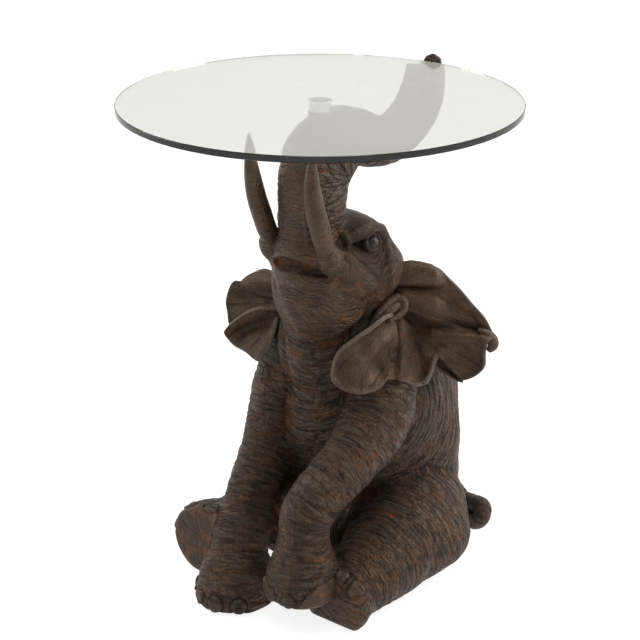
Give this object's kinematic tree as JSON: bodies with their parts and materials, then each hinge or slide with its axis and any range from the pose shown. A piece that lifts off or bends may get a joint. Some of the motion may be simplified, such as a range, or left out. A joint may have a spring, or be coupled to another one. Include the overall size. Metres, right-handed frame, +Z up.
{
  "type": "side table",
  "caption": "Seated elephant figure cast in dark resin, its trunk raised and curled back over its head, carrying a round clear glass table top on a short chromed spacer.",
  "frame": {"origin": "on the floor under the centre of the round glass top", "axes": "+Z up; the elephant faces -Y and its left side is +X"},
  "size_m": [0.4999, 0.5084, 0.662],
  "materials": {
    "glass": "polished clear float glass with ground green edge",
    "adhesive": "clear cured adhesive",
    "steel": "turned steel",
    "chrome": "polished chrome plate",
    "nylon": "natural nylon",
    "resin": "cast resin, antiqued dark brown with warmer creases, satin",
    "eye": "smooth dark bead, semi-gloss",
    "rubber": "matte black rubber",
    "felt": "dark brown felt"
  },
  "bodies": {
    "base": {"trunk": "resin", "head": "resin", "ear_left": "resin", "ear_right": "resin", "ear_dowel_left": "steel", "ear_dowel_right": "steel", "tusk_left": "resin", "tusk_right": "resin", "eye_left": "eye", "eye_right": "eye", "torso": "resin", "base_plug": "rubber", "front_leg_right": "resin", "front_leg_left": "resin", "hind_leg_right": "resin", "hind_leg_left": "resin", "tail": "resin", "trunk_rod": "steel", "socket_insert": "steel", "spacer_sleeve": "chrome", "pad_foot": "felt", "pad_hip_left": "felt", "pad_hip_right": "felt", "pad_rump": "felt"},
    "bush": {"nylon_bush": "nylon"},
    "top": {"glass_top": "glass", "bond_film": "adhesive", "mounting_disc": "steel"}
  },
  "joints": [
    {"name": "lift", "type": "slide", "parent": "base", "child": "bush", "axis": [0, 0, 1], "range_m": [0, 0.02]},
    {"name": "turn", "type": "hinge", "parent": "bush", "child": "top", "pos_m": [0, 0, 0.642], "axis": [0, 0, 1], "continuous": true}
  ]
}
